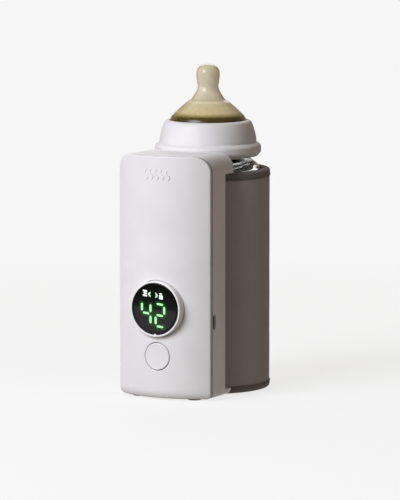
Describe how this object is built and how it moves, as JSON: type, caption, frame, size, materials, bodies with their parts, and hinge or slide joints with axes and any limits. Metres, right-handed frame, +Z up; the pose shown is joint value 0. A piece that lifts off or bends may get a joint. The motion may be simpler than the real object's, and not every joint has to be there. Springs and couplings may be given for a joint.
{
  "type": "bottle warmer",
  "caption": "Portable bottle warmer: a bowed control case with round display and button carrying a padded heating sleeve, with a feeding bottle, screw collar and teat in it.",
  "frame": {"origin": "on the floor, under the centre of the whole object's box", "axes": "+Z up, -Y out of the display, +X towards the charging socket"},
  "size_m": [0.077, 0.108, 0.2018],
  "materials": {
    "white_plastic": "fine satin",
    "collar_plastic": "satin",
    "inner_plastic": "moulded",
    "dark_plastic": "moulded",
    "display_glass": "polished, with a lit readout behind it",
    "silicone": "matt",
    "sleeve_fabric": "fine knit over foam",
    "binding_fabric": "folded tape",
    "lining_fabric": "smooth lining",
    "heating_film": "film with etched tracks",
    "steel": "plated",
    "nickel": "plated strip",
    "circuit_board": "solder mask",
    "cell_wrap": "shrink wrap",
    "wire": "insulated",
    "bottle_glass": "clear",
    "teat_rubber": "soft, amber, translucent"
  },
  "bodies": {
    "warmer": {"front_shell": "white_plastic", "rear_shell": "white_plastic", "foot_left": "silicone", "foot_right": "silicone", "display_bezel": "white_plastic", "display_window": "display_glass", "display_module": "dark_plastic", "display_board": "circuit_board", "display_header": "dark_plastic", "tact_switch": "steel", "board_screw_left": "steel", "board_screw_right": "steel", "main_board": "circuit_board", "usb_c_socket": "steel", "controller_chip": "dark_plastic", "battery_connector": "inner_plastic", "heater_connector": "inner_plastic", "battery_cell_left": "cell_wrap", "battery_cell_right": "cell_wrap", "battery_tray": "inner_plastic", "battery_strip_top": "nickel", "battery_strip_left": "nickel", "battery_strip_right": "nickel", "battery_lead_negative": "wire", "battery_lead_positive": "wire", "shell_screw_lower_left": "steel", "shell_screw_lower_right": "steel", "shell_screw_upper_left": "steel", "shell_screw_upper_right": "steel", "clamp_screw_lower": "steel", "clamp_screw_upper": "steel", "sleeve_padding": "sleeve_fabric", "sleeve_clamp_plate": "inner_plastic", "temperature_sensor": "dark_plastic", "sleeve_lining": "lining_fabric", "heating_film": "heating_film", "sleeve_top_binding": "binding_fabric", "sleeve_bottom_binding": "binding_fabric", "sleeve_base": "binding_fabric", "base_pad": "silicone", "heater_lead": "wire"},
    "button": {"power_button": "white_plastic"},
    "plunger": {"switch_plunger": "dark_plastic"},
    "bottle": {"bottle": "bottle_glass"},
    "teat": {"teat": "teat_rubber"},
    "collar": {"collar": "collar_plastic"}
  },
  "joints": [
    {"name": "power_button_press", "type": "slide", "parent": "warmer", "child": "button", "axis": [0, 1, 0], "range_m": [0, 0.0008], "stiffness_N_per_m": 800},
    {"name": "switch_plunger_travel", "type": "slide", "parent": "warmer", "child": "plunger", "axis": [0, 1, 0], "range_m": [0, 0.0008]},
    {"name": "bottle_lift", "type": "slide", "parent": "warmer", "child": "bottle", "axis": [0, 0, 1], "range_m": [0, 0.15]},
    {"name": "teat_rise", "type": "slide", "parent": "bottle", "child": "teat", "axis": [0, 0, 1], "range_m": [0, 0.0076]},
    {"name": "collar_turn", "type": "hinge", "parent": "teat", "child": "collar", "pos_m": [0, 0.0155, 0.155], "axis": [0, 0, 1], "range_deg": [0, 450]}
  ],
  "couplings": [
    {"joint": "switch_plunger_travel", "follows": "power_button_press", "ratio": 1},
    {"joint": "teat_rise", "follows": "collar_turn", "m_per_rad": 0.00095493}
  ]
}
